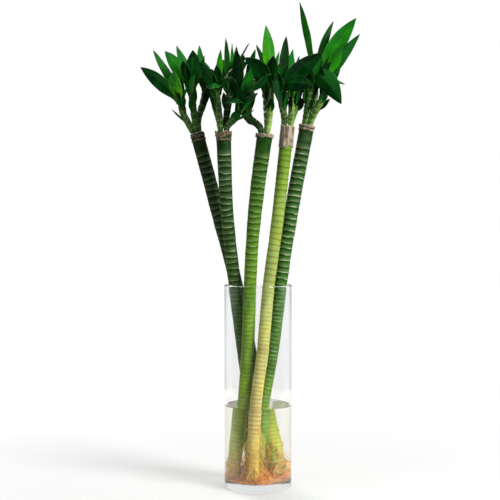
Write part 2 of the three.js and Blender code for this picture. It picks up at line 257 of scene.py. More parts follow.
# %% The measures
CANES = {
    "a": {
        "line": [
            (18.5, 27, 17.7, 7.4), (2.7, 30.5, 130, 9.6), (-12.3, 26, 205, 9.6),
            (-32, 18.5, 300, 9.6), (-60, 9.5, 410, 10), (-90.6, 0, 527, 10.2),
        ],
        "shoots": [
            (190, (-113.5, -12, 566), [
                (-171, -32, 620, 25, 0.25, 60, 0.25), (-161, 18, 622, 20, 0.3, 15, 0.45),
                (-157, 20, 652, 20, 0.35, 15, 0.55), (-120, -58, 611, 26, 0.15, -50, 0.95),
                (-146, 54, 592, 22, 0.4, 0, 0.4),
            ]),
            (290, (-97, -18, 586), [
                (-136, -26, 644, 26, 0.3, -75, 0.62), (-121, 12, 658, 20, 0.4, 20, 0.55),
                (-94, -48, 642, 27, 0.4, 15, 0.2), (-98, -70, 565, 18, 0.7, 65, 0.2),
                (-108, -44, 628, 22, 0.4, -30, 0.2),
            ]),
            (50, (-80, 14, 588), [
                (-88, 24, 660, 20, 0.4, -20, 0.55), (-79, -16, 639, 20, 0.4, -75, 0.88),
                (-71, -44, 614, 22, 0.3, 55, 0.3), (-82, 60, 640, 22, 0.4, 0, 0.4),
                (-112, 74, 618, 22, 0.4, 0, 0.35), (-84, 92, 598, 20, 0.5, 0, 0.4),
            ]),
        ],
        "roots": [(33, 20, 16), (28, 34, 15), (16, 42, 14), (14, 12, 14)],
    },
    "b": {
        "line": [
            (-0.5, 26, 17.4, 8.4), (-12.6, 16, 130, 9.4), (-22.3, 7.5, 205, 9.4),
            (-34, -5, 300, 9.3), (-42, -15, 370, 9.2), (-47, -23, 430, 9.5),
            (-50.4, -30, 527, 11),
        ],
        "shoots": [
            (225, (-59, -38, 578), [
                (-83, -62, 624, 24, 0.35, 10, 0.3), (-66, -104, 580, 24, 0.4, 0, 0.3),
                (-54, -62, 641, 14, 0.5, 30, 0.85), (-38, -90, 598, 20, 0.3, 0, 0.5),
            ]),
            (320, (-29, -42, 553), [
                (-32, -52, 643, 26, 0.45, 60, 0.08), (-11, -66, 614, 26, 0.35, 40, 0.5),
                (-40, -108, 560, 22, 0.4, 0, 0.15), (-6, -92, 571, 22, 0.4, 15, 0.1),
                (-14, -84, 579, 24, 0.3, 40, 0.5), (-39, -58, 603, 22, 0.35, 20, 0.15),
            ]),
            (50, (-42, -14, 590), [
                (-47, -14, 665, 16, 0.5, -5, 0.65), (-38, -36, 654, 16, 0.5, 80, 0.6),
                (-32, 8, 656, 22, 0.4, -35, 0.1), (-13, 10, 661, 18, 0.4, -40, 0.15),
                (-34, 62, 630, 22, 0.4, 0, 0.4), (-20, -34, 637, 24, 0.4, 10, 0.08),
            ]),
            (140, (-66, 0, 584), [
                (-46, 44, 648, 20, 0.4, 0, 0.4), (-51, 12, 637, 16, 0.5, -60, 0.5),
                (-52, 80, 612, 22, 0.4, 0, 0.4),
            ]),
        ],
        "roots": [(2, 42, 15), (-16, 38, 14), (-14, 24, 14), (2, 12, 15)],
    },
    "c": {
        "line": [
            (-30.5, -5, 17.1, 8.8), (-20.2, -9, 130, 9.6), (-15.3, -12, 205, 9.5),
            (-12, -16, 300, 9.3), (-8.2, -19, 370, 9.4), (-2.6, -22, 430, 10.4),
            (9.7, -26, 523, 11.6),
        ],
        "shoots": [
            (185, (-14, -14, 554), [
                (-4, -4, 650, 22, 0.5, -40, 0.2), (-30, 36, 600, 20, 0.4, 0, 0.4),
                (-16, -18, 616, 22, 0.35, -5, 0.4),
            ]),
            (300, (19, -38, 588), [
                (11, -34, 680, 22, 0.5, -40, 0.9), (30, -50, 640, 12, 0.5, 15, 0.8),
                (-20, -58, 630, 26, 0.3, 60, 0.2), (-3, -18, 654, 20, 0.4, 10, 0.55),
                (-11, -84, 579, 22, 0.4, 70, 0.1), (33, -60, 557, 15, 0.7, -10, 0.1),
            ]),
            (70, (12, 6, 586), [
                (5, 24, 648, 20, 0.4, 20, 0.62), (4, 86, 624, 24, 0.4, 0, 0.4),
                (40, 72, 612, 22, 0.4, 0, 0.45), (-24, 92, 598, 22, 0.4, 0, 0.4),
                (36, 20, 636, 20, 0.4, 30, 0.4),
            ]),
        ],
        "roots": [(-42, 8, 15), (-44, -8, 14), (-34, -24, 14), (-20, 6, 14)],
    },
    "d": {
        "line": [
            (-7.5, -31, 16.9, 7.8), (-3, -25, 130, 8.6), (6.7, -22, 205, 8.8),
            (15.3, -18, 300, 8.8), (25, -14.5, 370, 8.9), (32.3, -12, 430, 9.1),
            (43.8, -8, 536, 9.75),
        ],
        "shoots": [
            (190, (33, -25, 580), [
                (41, -28, 665, 22, 0.5, 10, 0.25), (92, -63, 636, 29, 0.25, -65, 0.15),
                (75, -80, 588, 26, 0.3, 75, 0.12),
            ]),
            (300, (50, -18, 576), [
                (81, -27, 621, 22, 0.3, -55, 0.05), (52, 10, 652, 22, 0.4, 60, 0.5),
                (67, 4, 610, 20, 0.4, -15, 0.3),
            ]),
            (50, (60, 12, 582), [
                (62, 36, 646, 22, 0.4, 60, 0.4), (54, 90, 624, 24, 0.4, 0, 0.35),
                (72, 82, 642, 22, 0.4, 0, 0.4),
            ]),
        ],
        "roots": [(6, -42, 15), (-12, -44, 14), (-22, -36, 14), (8, -24, 14)],
    },
    "e": {
        "line": [
            (-7, -10, 17.4, 8.8), (8.5, -6, 130, 9.4), (21.2, -3, 205, 9.6), (33, 1, 300, 9.8),
            (43, 3.5, 370, 10.3), (53.2, 6, 430, 10.4), (73, 10, 538, 11),
        ],
        "shoots": [
            (222, (76, -8, 586), [
                (119, -56, 564, 32, 0.8, 90, 0.28), (94, -20, 636, 20, 0.4, -25, 0.5),
            ]),
            (38, (86, 12, 600), [
                (62, 16, 723, 18, 0.3, 55, 0.75), (146, 8, 698, 28, 0.2, -90, 0.68),
                (114, 34, 698, 13, 0.4, 60, 0.3), (96, 88, 652, 24, 0.4, 0, 0.4),
            ]),
            (312, (97, -10, 588), [
                (150, -6, 672, 22, 0.35, 35, 0.45), (124, -26, 650, 20, 0.4, -20, 0.75),
                (132, 40, 603, 18, 0.4, 25, 0.35),
            ]),
            (132, (76, 32, 586), [
                (122, 92, 618, 24, 0.4, 0, 0.4), (84, 112, 598, 24, 0.4, 0, 0.45),
                (108, 78, 640, 20, 0.4, 0, 0.35),
            ]),
        ],
        "roots": [(6, -4, 15), (4, 6, 14), (-14, 6, 14), (-18, -16, 14)],
    },
}
# The vase's outer and inner radius, its height, its floor's thickness and the water's level
VASE_RADIUS, VASE_BORE, VASE_HEIGHT, VASE_FLOOR, WATER_LEVEL = 50, 47.5, 302, 12, 122
# The gap between pieces that touch, and how far from a cut top's middle its shoots sit
GAP, SEAT = 0.3, 6
print("canes:", len(CANES), "shoots:", sum(len(cane["shoots"]) for cane in CANES.values()))

# %% [markdown]
# ## The curves that things grow along
#
# A cane's centre line runs smoothly through its points. The curve is a Catmull-Rom one, eased by
# the square root of each step, and its slopes become the handles of a Bezier curve, which Blender
# can bend a mesh along. A shoot leaves the cut top square to it and turns upright at its crown.

# %% Lines of growth
def in_metres(values):
    """A place in millimetres as a vector in metres."""
    return Vector(values) * MM


def path_through(name, points, lefts, rights, radii=None, tilts=None, twist="MINIMUM"):
    """A Bezier curve with free handles. Its radii swell, and its tilts roll, what is bent by it."""
    data = bpy.data.curves.new(name, "CURVE")
    data.dimensions = "3D"
    data.resolution_u = 24
    data.twist_mode = twist
    spline = data.splines.new("BEZIER")
    spline.bezier_points.add(len(points) - 1)
    for i, point in enumerate(spline.bezier_points):
        point.handle_left_type = "FREE"
        point.handle_right_type = "FREE"
        point.co = points[i]
        point.handle_left = lefts[i]
        point.handle_right = rights[i]
        point.radius = radii[i] if radii else 1
        point.tilt = tilts[i] if tilts else 0
    path = bpy.data.objects.new(name, data)
    scene.collection.objects.link(path)
    return path


def cane_line(cane):
    """Points, left handles, right handles and radii of a cane's centre line."""
    points = [in_metres(point[:3]) for point in cane["line"]]
    row = [points[0] * 2 - points[1], *points, points[-1] * 2 - points[-2]]
    lefts, rights = [points[0]], []
    for before, start, end, after in zip(row, row[1:], row[2:], row[3:]):
        spans = (start - before, end - start, after - end)
        steps = [math.sqrt(span.length) for span in spans]
        slopes = [span / step for span, step in zip(spans, steps)]
        leaving = slopes[0] - (end - before) / (steps[0] + steps[1]) + slopes[1]
        arriving = slopes[1] - (after - start) / (steps[1] + steps[2]) + slopes[2]
        rights.append(start + leaving * steps[1] / 3)
        lefts.append(end - arriving * steps[1] / 3)
    rights.append(points[-1])
    lefts[0] = points[0] * 2 - rights[0]
    rights[-1] = points[-1] * 2 - lefts[-1]
    return points, lefts, rights, [point[3] / 10 for point in cane["line"]]


def cane_path(name, cane):
    """The cane's line as a curve, and its length in millimetres."""
    points, lefts, rights, radii = cane_line(cane)
    path = path_through(name, points, lefts, rights, radii)
    return path, path.data.splines[0].calc_length() / MM


for name, cane in CANES.items():
    path, length = cane_path("measure", cane)
    print(f"cane {name}: {length:.0f} mm long")
    bpy.data.objects.remove(path)

# %% Lines of shoots
# How far a shoot's handles reach, as a share of its length, and how upright it ends
REACH, UPRIGHT = 0.42, 0.6


def level(bearing):
    """The level direction at a bearing, in radians."""
    return Vector((math.cos(bearing), math.sin(bearing), 0))


def square_to(axis, direction):
    """The direction turned square to an axis."""
    return (direction - axis * direction.dot(axis)).normalized()


def shoot_handles(cane, seat, crown):
    """The four points of a shoot's cubic curve, from its seat on the cut top to its crown."""
    points, lefts, _, _ = cane_line(cane)
    axis = (points[-1] - lefts[-1]).normalized()
    outward = square_to(axis, level(math.radians(seat)))
    foot = points[-1] + axis * GAP * MM + outward * SEAT * MM
    top = in_metres(crown)
    reach = (top - foot).length * REACH
    rise = (top - foot).normalized().lerp(UP, UPRIGHT).normalized()
    return foot, foot + axis * reach, top - rise * reach, top


def along(handles, t):
    """The place and direction at t on a cubic curve."""
    a, b, c, d = handles
    s = 1 - t
    place = a * s ** 3 + b * 3 * s * s * t + c * 3 * s * t * t + d * t ** 3
    heading = (b - a) * s * s + (c - b) * 2 * s * t + (d - c) * t * t
    return place, heading.normalized()


tallest = max(crown[2] for cane in CANES.values() for _, crown, _ in cane["shoots"])
print("the highest crown sits at", tallest, "mm")

# %% [markdown]
# ## Turning shapes up
#
# Whatever is round here starts as a circle that is extruded ring by ring up its outline, as if it
# was turned on a lathe. A finished piece hides the CAD nodes it stands for, and is shaded smooth.

# %% Turning up and finishing
def alone(piece):
    """Selects one piece and makes it active."""
    bpy.ops.object.select_all(action="DESELECT")
    piece.select_set(True)
    bpy.context.view_layer.objects.active = piece


def turned_up(name, sides, rings, close_foot=False, close_top=False):
    """Extrudes a circle ring by ring up a profile of [radius, height] in millimetres."""
    radius, height = rings[0]
    start = (0, 0, height * MM)
    bpy.ops.mesh.primitive_circle_add(vertices=sides, radius=radius * MM, location=start)
    piece = bpy.context.object
    piece.name = name
    bpy.ops.object.transform_apply(location=True)
    bpy.ops.object.mode_set(mode="EDIT")
    bpy.ops.mesh.select_all(action="SELECT")
    if close_foot:
        bpy.ops.mesh.edge_face_add()
    for next_radius, next_height in rings[1:]:
        rise = (0, 0, (next_height - height) * MM)
        bpy.ops.mesh.extrude_edges_move(TRANSFORM_OT_translate={"value": rise})
        grow = next_radius / radius
        bpy.ops.transform.resize(value=(grow, grow, 1))
        radius, height = next_radius, next_height
    if close_top:
        bpy.ops.mesh.edge_face_add()
    bpy.ops.mesh.select_all(action="SELECT")
    bpy.ops.mesh.normals_make_consistent(inside=False)
    bpy.ops.object.mode_set(mode="OBJECT")
    return piece


def rounding(x, z, radius, turns):
    """The part of an outline that rounds a corner: an arc about a point, at turns in degrees."""
    angles = [math.radians(turn) for turn in turns]
    return [(x + radius * math.cos(angle), z + radius * math.sin(angle)) for angle in angles]


def placed(piece, stands_for, material):
    """Finishes a piece: what it rides on, which CAD nodes it replaces, and its material."""
    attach(piece, "root")
    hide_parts(*stands_for)
    piece.data.materials.clear()
    piece.data.materials.append(material)
    alone(piece)
    bpy.ops.object.shade_smooth()
    print(f"{piece.name}: {len(piece.data.polygons)} faces")


print("a rounded corner:", [(round(x, 1), round(z, 1)) for x, z in rounding(0, 0, 3, (0, 45, 90))])

# %% [markdown]
# ## The vase
#
# A cylinder vase is blown in a mould: a wall of 2.5 mm, a heavy floor of 12 mm, a rounded foot and
# a fire-polished rim. Its outline is turned up from a circle, outside first and then down inside,
# with rings set close at each rounding so that light slides round it. The foot is closed by its
# first face and the floor by its last.
#
# Soda glass is smooth and colourless. The eye knows it only by what it bends and mirrors. It lets
# light straight through for shadows, or the plant inside would stand in the dark.

# %% The vase
# What a wall lets through, the turns of a quarter and a half round, and radii in millimetres
WALL_TINT = "#F6F7F7"
QUARTER, HALF = [[22.5 * step for step in range(count)] for count in (5, 9)]
FOOT_ROUND, FLOOR_ROUND, RIM_BEAD = 3, 4, 1.7


def clear_finish(name, colour, ior):
    """A clear, smooth material. Shadow rays go straight through it, dimmed by the wall's tint."""
    sockets = {"Base Color": colour, "Roughness": 0.0, "IOR": ior, "Transmission Weight": 1.0}
    material, tree, shader = new_finish(name, sockets)
    is_shadow = add_node(tree, "LightPath").outputs["Is Shadow Ray"]
    window = add_node(tree, "BsdfTransparent", {"Color": WALL_TINT})
    mix = add_node(tree, "MixShader", (is_shadow, shader.outputs[0], window.outputs[0]))
    tree.links.new(mix.outputs[0], tree.nodes["Material Output"].inputs["Surface"])
    return material


outline = [(1, 0), (30, 0), (46.5, 0)]
foot_turns = [15 * step - 90 for step in range(7)]
outline += rounding(VASE_RADIUS - FOOT_ROUND, FOOT_ROUND, FOOT_ROUND, foot_turns)
outline += [(VASE_RADIUS, 8), (VASE_RADIUS, 150), (VASE_RADIUS, VASE_HEIGHT - 6)]
outline += rounding((VASE_RADIUS + VASE_BORE) / 2, VASE_HEIGHT - RIM_BEAD, RIM_BEAD, HALF)
outline += [(VASE_BORE, VASE_HEIGHT - 6), (VASE_BORE, 150), (VASE_BORE, 17)]
corner = (VASE_BORE - FLOOR_ROUND, VASE_FLOOR + FLOOR_ROUND)
outline += rounding(*corner, FLOOR_ROUND, [-turn for turn in QUARTER])
outline += [(42.5, VASE_FLOOR), (25, VASE_FLOOR), (1, VASE_FLOOR)]
vase = turned_up("vase_glass", 128, outline, close_foot=True, close_top=True)
soda_glass = clear_finish("clear_soda_glass", "#FFFFFF", 1.5)
placed(vase, ["glass_vase"], soda_glass)

# %% [markdown]
# ## The water
#
# The water is its own closed body. Its side and floor reach a fifth of a millimetre into the glass:
# that way no film of air is left between the two, and light bends as if it went straight from
# glass to water. Its surface climbs the wall a little, as a meniscus does. The water is clear, with
# a trace of cream from the roots.

# %% The water
INTO_GLASS = 0.2
wet_floor, wet_wall = VASE_FLOOR - INTO_GLASS, VASE_BORE + INTO_GLASS
# The meniscus and the level surface: the distance from the axis, and the height above the level
SURFACE = [
    (wet_wall, 0), (wet_wall, 1.6), (47.3, 1.3), (46.4, 0.5), (45, 0.1), (43, 0), (20, 0), (1, 0),
]
outline = [(1, wet_floor), (25, wet_floor), (42.5, wet_floor)]
outline += rounding(*corner, FLOOR_ROUND + INTO_GLASS, [turn - 90 for turn in QUARTER])
outline += [(wet_wall, 40)] + [(radius, WATER_LEVEL + rise) for radius, rise in SURFACE]
water = turned_up("vase_water", 128, outline, close_foot=True, close_top=True)
still_water = clear_finish("still_water", "#FBF9F4", 1.333)
placed(water, ["water"], still_water)

# %% [markdown]
# ## The canes
#
# A cane is a stack of short lengths, each ending in the scar of a leaf that fell: a fine raised
# ring with a pale line. Scars lie about 9 mm apart above the vase and 6 mm apart low down, where
# the cane grew slowly. One length is turned up and copied up the cane, then come a plain top with
# its dried, cut rim, and the whole straight cane is bent along its line, which also swells it.
#
# The skin is waxy, which gives it a soft, broad gloss, and has faint fibres along it. Two values on
# the straight cane colour it: the height, and the number of scars below a point, whose fraction
# draws one scar in each length. So the pattern follows the bend. Each length also has painted
# shading: painted light just above its scar, and painted shade that darkens it under the next.
# Canes a, b and e are dark, c turns brighter down, and d is lime to cream. Noise bends and breaks
# the pale lines, for no scar is quite level or whole. In the vase the scars and their painted
# shading are fainter, and near the water the scars turn brown.

# %% Cane skins
# Fineness per metre and detail: fibres 1.4 mm wide and 40 mm long, patches of 18 by 33 mm, the sway
# of the scars over 17 mm, their breaks of 13 by 8 mm, and mottles of 22 by 62 mm. Real fibres are a
# few tenths of a millimetre wide. They are drawn coarser, or they wouldn't show.
CANE_GRAINS = [
    ((700, 700, 25), 4), ((55, 55, 30), 3), ((60, 60, 80), 3),
    ((75, 75, 120), 2), ((45, 45, 16), 2),
]


def cane_skin(name, by_height, scar, scar_strength, speck_and_shade, soaked=0.2):
    """A waxy skin: colours by height, pale scars, specks, scars that turn brown in water, and
    painted shading: painted light just above each scar and painted shade under the next.
    """
    material, tree, shader = new_finish(name, {
        "Roughness": 0.42, "Specular IOR Level": 0.1, "Coat Weight": 0.03, "Coat Roughness": 0.25,
    })
    straight = add_node(tree, "Attribute", attribute_name="straight").outputs["Vector"]
    height = add_node(tree, "SeparateXYZ", (straight,)).outputs[2]
    fibres, patches, sway, breaks, mottles = grown_patterns(tree, straight, CANE_GRAINS)

    rings = add_node(tree, "Attribute", attribute_name="rings").outputs["Fac"]
    swayed = add_node(tree, "MapRange", (sway, 0.3, 0.7, -0.16, 0.16)).outputs[0]
    count = add_node(tree, "Math", (rings, swayed), operation="ADD").outputs[0]
    part = add_node(tree, "Math", (count,), operation="FRACT").outputs[0]
    offset = add_node(tree, "Math", (part, 0.5), operation="SUBTRACT").outputs[0]
    from_middle = add_node(tree, "Math", (offset,), operation="ABSOLUTE").outputs[0]
    thinning = add_node(tree, "MapRange", (breaks, 0.35, 0.65, -0.05, 0.03)).outputs[0]
    thinned = add_node(tree, "Math", (from_middle, thinning), operation="ADD").outputs[0]
    fainter_in_vase = (height, 0.26, 0.31, 0.45, 1.0)
    line = coverage(tree, (thinned, 0.41, 0.48), (breaks, 0.38, 0.6, 0.1, 1.0), fainter_in_vase)

    up_the_cane = add_node(tree, "MapRange", (height, 0.0, 0.52)).outputs[0]
    skin = add_node(tree, "ValToRGB", (up_the_cane,), stops=by_height).outputs[0]
    under_water, up_from_it = (height, 0.062, 0.074, 0.0, soaked), (height, 0.09, 0.3, 0.6, 0.0)
    skin = painted(tree, skin, [
        ("#DDEBA0", "SOFT_LIGHT", (fibres, 0.4, 0.7, 0.0, 0.35)),
        (speck_and_shade, "MULTIPLY", (patches, 0.45, 0.7, 0.0, 0.5)),
        ("#E4D88C", "SOFT_LIGHT", (mottles, 0.42, 0.66, 0.0, 0.55)),
        # Painted light just above each scar, and painted shade that darkens each length under the
        # next scar
        (scar, "MIX", (part, 0.0, 0.6, 0.22, 0.0), fainter_in_vase),
        (speck_and_shade, "MULTIPLY", (part, 0.6, 0.93, 0.0, 0.75), fainter_in_vase),
        ("#A4682C", "MIX", under_water, up_from_it, (part, 0.35, 0.8)),
        (scar, "MIX", (line, 0.0, 1.0, 0.0, scar_strength)),
    ])
    relief = add_node(tree, "Math", (fibres, 0.4, line), operation="MULTIPLY_ADD").outputs[0]
    dressed(tree, shader, skin, relief, 0.0003, 0.7)
    return material


# For each cane: its finish, its colours at these parts of its height, its scars' colour and
# strength, its specks, and how brown the scars turn in and near the water. The scars' colour also
# gives the painted light just above each scar, and the specks' colour the painted shade under it.
CANE_SKINS = {
    "a": cane_skin(
        "waxy_blackish_cane",
        [
            (0.0, "#B4B04C"), (0.16, "#8A9C38"), (0.3, "#243F14"),
            (0.6, "#1A3611"), (0.85, "#14300F"), (1.0, "#0E2810"),
        ],
        "#8E9C72", 0.4, "#5A7040",
    ),
    "b": cane_skin(
        "waxy_dark_cane",
        [
            (0.0, "#7F9038"), (0.14, "#5C7C2C"), (0.3, "#2B4D18"),
            (0.6, "#294B18"), (0.88, "#1E4218"), (1.0, "#123016"),
        ],
        "#A3B486", 0.75, "#5A7040",
    ),
    "c": cane_skin(
        "waxy_mid_cane",
        [
            (0.0, "#C09A34"), (0.09, "#94A030"), (0.22, "#709430"),
            (0.65, "#4E7E1E"), (0.87, "#2A5A16"), (1.0, "#0E3416"),
        ],
        "#AEC278", 0.6, "#6C8048",
    ),
    "d": cane_skin(
        "waxy_lime_cane",
        [
            (0.0, "#C4A652"), (0.2, "#BAB074"), (0.5, "#A4B06E"),
            (0.72, "#92B25C"), (0.9, "#6C9A32"), (1.0, "#5A8A26"),
        ],
        "#A08C54", 0.2, "#C8BA8A", soaked=0.8,
    ),
    "e": cane_skin(
        "waxy_deep_cane",
        [
            (0.0, "#8FA03C"), (0.14, "#6A9030"), (0.3, "#35661E"),
            (0.6, "#2C5E1B"), (0.88, "#215018"), (1.0, "#163C15"),
        ],
        "#C0CEA4", 0.85, "#5C7A40",
    ),
}
print("cane skins:", len(set(CANE_SKINS.values())))

# %% [markdown]
# A plant is easiest to model straight and flat, as one might cut it from paper, and to bend into
# place at the end. So parts are copied and joined while they are straight, each point keeps its
# straight place for the pattern to read, and then the whole is bent along its line.

# %% Copying, joining and bending
def modified(piece, kind, **settings):
    """Adds a modifier, sets it and applies it."""
    alone(piece)
    modifier = piece.modifiers.new(kind.lower(), kind)
    for key, value in settings.items():
        setattr(modifier, key, value)
    bpy.ops.object.modifier_apply(modifier=modifier.name)


def copied(piece, name, matrix=None):
    """A copy of a piece with its own mesh, which the matrix may reshape."""
    copy = piece.copy()
    copy.data = piece.data.copy()
    copy.name = name
    if matrix:
        copy.data.transform(matrix)
    scene.collection.objects.link(copy)
    return copy


def joined(name, parts):
    """Joins pieces into the first one."""
    alone(parts[0])
    for part in parts[1:]:
        part.select_set(True)
    bpy.ops.object.join()
    piece = bpy.context.object
    piece.name = name
    return piece


def welded(piece, distance):
    """Merges doubled points and turns all faces outwards."""
    alone(piece)
    bpy.ops.object.mode_set(mode="EDIT")
    bpy.ops.mesh.select_all(action="SELECT")
    bpy.ops.mesh.remove_doubles(threshold=distance)
    bpy.ops.mesh.normals_make_consistent(inside=False)
    bpy.ops.object.mode_set(mode="OBJECT")
    return piece


def carry(piece, name, values, kind="FLOAT"):
    """Writes one value per point to the piece, for its shader to read."""
    layer = piece.data.attributes.new(name, kind, "POINT")
    if kind == "FLOAT":
        layer.data.foreach_set("value", values)
    else:
        layer.data.foreach_set("vector", [number for value in values for number in value])


def carry_straight_place(piece):
    """Keeps each point's place on the straight piece, so that a pattern follows the bend."""
    carry(piece, "straight", [tuple(point.co) for point in piece.data.vertices], "FLOAT_VECTOR")


def bent(piece, path, axis):
    """Bends a piece along a curve and removes the curve."""
    modified(piece, "CURVE", object=path, deform_axis=axis)
    bpy.data.objects.remove(path)


def crumpled(piece, strength, size):
    """Moves points in and out by soft noise, so that nothing that grew is quite even."""
    texture = bpy.data.textures.new("growth", "CLOUDS")
    texture.noise_scale = size
    modified(
        piece, "DISPLACE", texture=texture, strength=strength, mid_level=0.5,
        texture_coords="LOCAL",
    )


print("pieces placed so far:", vase.name, water.name)

# %% One length of cane, its foot and its top
# Heights in millimetres, and outlines of [radius, height] for a cane with a radius of 10
CANE_SIDES, FOOT_HEIGHT, LENGTH, TOP_LENGTH = 40, 4, 9, 34

length_rings = [
    (10, 0), (10.18, 0.45), (10.05, 1.3), (9.93, 3.2),
    (9.93, 6.2), (10.08, 8.0), (10.24, 8.6), (10, LENGTH),
]
cane_length = turned_up("cane_length", CANE_SIDES, length_rings)

foot_rings = [(7, 0), (9.4, 0.6), (10, 2.2), (10, FOOT_HEIGHT)]
cane_foot = turned_up("cane_foot", CANE_SIDES, foot_rings, close_foot=True)

top_rings = [
    (10, 0), (10.18, 0.45), (10, 1.5), (9.95, 8), (9.95, 16), (10, 24), (10.1, 30), (10.25, 32.6),
    (10.15, 33.6), (9.7, TOP_LENGTH), (9.1, 33.8), (8.6, 33.2), (6, 33), (3, 33.1), (1, 33.2),
]
cane_top = turned_up("cane_top", CANE_SIDES, top_rings, close_top=True)
print("length models:", len(cane_length.data.polygons), len(cane_top.data.polygons))

# %% Stacking and bending the canes
# How far apart scars lie, below this height and above it
CLOSE, APART, RIM_REGION = (5.6, 6.8), (8.3, 9.6), 285


def scar_heights(length, chance):
    """Where each length of a cane starts, in millimetres: close together below the vase's rim."""
    heights = [FOOT_HEIGHT]
    while heights[-1] < length - TOP_LENGTH - 1:
        spacing = CLOSE if heights[-1] < RIM_REGION else APART
        heights.append(heights[-1] + chance.uniform(*spacing))
    fit = (length - TOP_LENGTH - FOOT_HEIGHT) / (heights[-1] - FOOT_HEIGHT)
    return [FOOT_HEIGHT + (height - FOOT_HEIGHT) * fit for height in heights]


def shifted(height, stretch=1.0):
    """The matrix that stretches a length and lifts it to its height."""
    return Matrix.Translation((0, 0, height * MM)) @ Matrix.Diagonal((1, 1, stretch, 1))


def rings_below(height, heights):
    """How many scars lie below a height, with the part of the way to the next. About half way no
    line is drawn, so the foot and the plain top are kept there."""
    for count, (low, high) in enumerate(zip(heights, heights[1:])):
        if height < high:
            share = (height - low) / (high - low)
            return count + share if count else max(0.45, share)
    return len(heights) - 1 + min(0.5, (height - heights[-1]) / LENGTH)


for name, cane in CANES.items():
    chance = random.Random(f"cane {name}")
    path, length = cane_path(f"line_{name}", cane)
    heights = scar_heights(length, chance)
    parts = [copied(cane_foot, "part")]
    for low, high in zip(heights, heights[1:]):
        parts.append(copied(cane_length, "part", shifted(low, (high - low) / LENGTH)))
    parts.append(copied(cane_top, "part", shifted(heights[-1])))
    piece = welded(joined(f"cane_skin_{name}", parts), 2e-5)
    carry_straight_place(piece)
    carry(piece, "rings", [rings_below(point.co.z / MM, heights) for point in piece.data.vertices])
    crumpled(piece, 0.0009, 0.022)
    bent(piece, path, "POS_Z")
    placed(piece, [f"cane_{name}"], CANE_SKINS[name])

for model in (cane_length, cane_foot, cane_top):
    bpy.data.objects.remove(model)

# %% [markdown]
# ## The dry husks
#
# Where a cane was cut, the last leaf sheaths dried to paper: a pinkish grey sleeve with a torn
# cream edge on cane d, and narrow tan or cream bands on the others. Each is a thin sleeve turned up
# a little wider than the cane. Its edge points are torn by a random move, crumpled by noise, given
# the thickness of paper, and bent along the same line as the cane.

# %% The dry sheaths' paper
# Dried leaf sheath is thin, brittle and quite dull, and its veins stand out as streaks. Fineness
# per metre and detail: streaks 2.4 mm wide and 45 mm long, and spots of 7 by 9 mm. Real veins lie
# about half a millimetre apart. The streaks are drawn coarser, or they wouldn't show.
HUSK_GRAINS = [((420, 420, 22), 3), ((150, 150, 110), 2)]
dry_paper, tree, shader = new_finish(
    "dry_leaf_sheath", {"Roughness": 0.85, "Specular IOR Level": 0.2}
)
straight = add_node(tree, "Attribute", attribute_name="straight").outputs["Vector"]
age = add_node(tree, "Attribute", attribute_name="age").outputs["Fac"]
torn_edge = add_node(tree, "Attribute", attribute_name="torn").outputs["Fac"]
streaks, spots = grown_patterns(tree, straight, HUSK_GRAINS)
greys = [(0.3, "#5C4A38"), (0.44, "#9C8A74"), (0.56, "#BCAC98"), (0.75, "#DED4BE")]
grey = add_node(tree, "ValToRGB", (streaks,), stops=greys).outputs[0]
tan = painted(tree, "#3C301A", [("#927E58", "MIX", (streaks, 0.35, 0.65))])
paper = painted(tree, grey, [
    (tan, "MIX", (age, 0, 1)),
    ("#3E3020", "MIX", (spots, 0.48, 0.7, 0.0, 0.75)),
    ("#E2D8BE", "MIX", (torn_edge, 0, 1), (age, 0.0, 1.0, 0.55, 0.15)),
])
dressed(tree, shader, paper, streaks, 0.0003, 0.8)
print("sheath paper nodes:", len(tree.nodes))

# %% The husks
def pick(test):
    """In edit mode, selects the points of the active piece whose place passes the test."""
    mesh = bmesh.from_edit_mesh(bpy.context.object.data)
    for point in mesh.verts:
        point.select_set(bool(test(point.co)))
    mesh.select_flush_mode()
    bmesh.update_edit_mesh(bpy.context.object.data)


CUT_RADIUS = 10.15


def sleeve(low, high, stand, tear, length, seed):
    """A torn band of sheath from one depth below the cut to another, on the straight cane."""
    steps = max(3, round((low - high) / 3))
    rise = (low - high) / steps
    rings = [(CUT_RADIUS + stand, length - low + rise * step) for step in range(steps + 1)]
    band = turned_up("band", 64, rings)
    floor_height, top_height = rings[0][1] * MM, rings[-1][1] * MM
    places = [point.co.z for point in band.data.vertices]
    torn = [1.0 if z < floor_height + 1e-5 or z > top_height - 1e-5 else 0.0 for z in places]
    carry(band, "torn", torn)
    edge_group = band.vertex_groups.new(name="edge")
    edge_group.add([i for i, value in enumerate(torn) if value], 1.0, "REPLACE")
    wave = bpy.data.textures.new("tear", "CLOUDS")
    wave.noise_scale = 0.008 + 0.001 * seed
    modified(
        band, "DISPLACE", texture=wave, strength=tear * MM * 2, mid_level=0.5,
        direction="Z", texture_coords="LOCAL", vertex_group="edge",
    )
    alone(band)
    bpy.ops.object.mode_set(mode="EDIT")
    pick(lambda place: place.z < floor_height + tear * 1.2 * MM)
    bpy.ops.transform.vertex_random(offset=tear * 0.22 * MM, seed=seed)
    bpy.ops.object.mode_set(mode="OBJECT")
    return band


